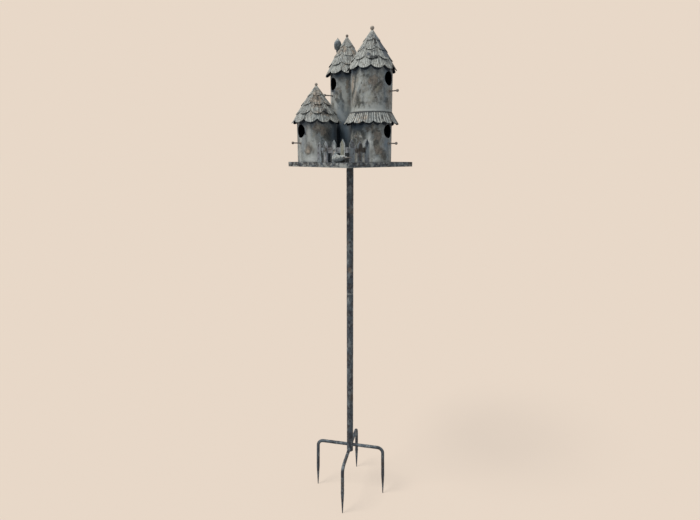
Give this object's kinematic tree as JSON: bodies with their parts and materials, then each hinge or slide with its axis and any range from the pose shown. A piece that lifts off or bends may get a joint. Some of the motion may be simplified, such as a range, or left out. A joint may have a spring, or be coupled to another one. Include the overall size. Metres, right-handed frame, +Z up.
{
  "type": "nest box tower",
  "caption": "Garden nest box tower: round metal houses with conical scalloped roofs on a square platform, carried by a pole on four prongs.",
  "frame": {"origin": "on the ground under the axis of the pole, in the middle of the four prong tips", "axes": "+Z up along the pole, X and Y along the sides of the square platform"},
  "size_m": [0.3394, 0.3383, 1.7463],
  "materials": {
    "dark_iron": "dark aged iron with a mottled blue-grey patina",
    "house_sheet": "weathered grey-green painted sheet with brown rust blotches",
    "shingles": "weathered cream-grey fluted shingles with dark grooves",
    "rusty_trim": "rusty brown turned metal",
    "fence_sheet": "weathered pale painted sheet",
    "bird_cast": "weathered blue-grey painted casting"
  },
  "bodies": {
    "root": {"fence_bird": "bird_cast", "fence_left": "fence_sheet", "fence_right": "fence_sheet", "left_finial": "rusty_trim", "left_perch": "rusty_trim", "left_roof_row_1": "shingles", "left_roof_row_2": "shingles", "left_roof_row_3": "shingles", "left_roof_row_4": "shingles", "left_wall": "house_sheet", "lower_pole": "dark_iron", "platform": "dark_iron", "pole_flange": "dark_iron", "pole_spigot": "dark_iron", "prong_bar_lower": "dark_iron", "prong_bar_upper": "dark_iron", "rear_finial": "rusty_trim", "rear_perch": "rusty_trim", "rear_roof_row_1": "shingles", "rear_roof_row_2": "shingles", "rear_roof_row_3": "shingles", "rear_roof_row_4": "shingles", "rear_wall": "house_sheet", "right_finial": "rusty_trim", "right_lower_perch": "rusty_trim", "right_lower_wall": "house_sheet", "right_roof_row_1": "shingles", "right_roof_row_2": "shingles", "right_roof_row_3": "shingles", "right_roof_row_4": "shingles", "right_skirt": "shingles", "right_storey_floor": "house_sheet", "right_upper_perch": "rusty_trim", "right_upper_wall": "house_sheet", "roof_bird": "bird_cast", "upper_pole": "dark_iron"}
  },
  "joints": []
}
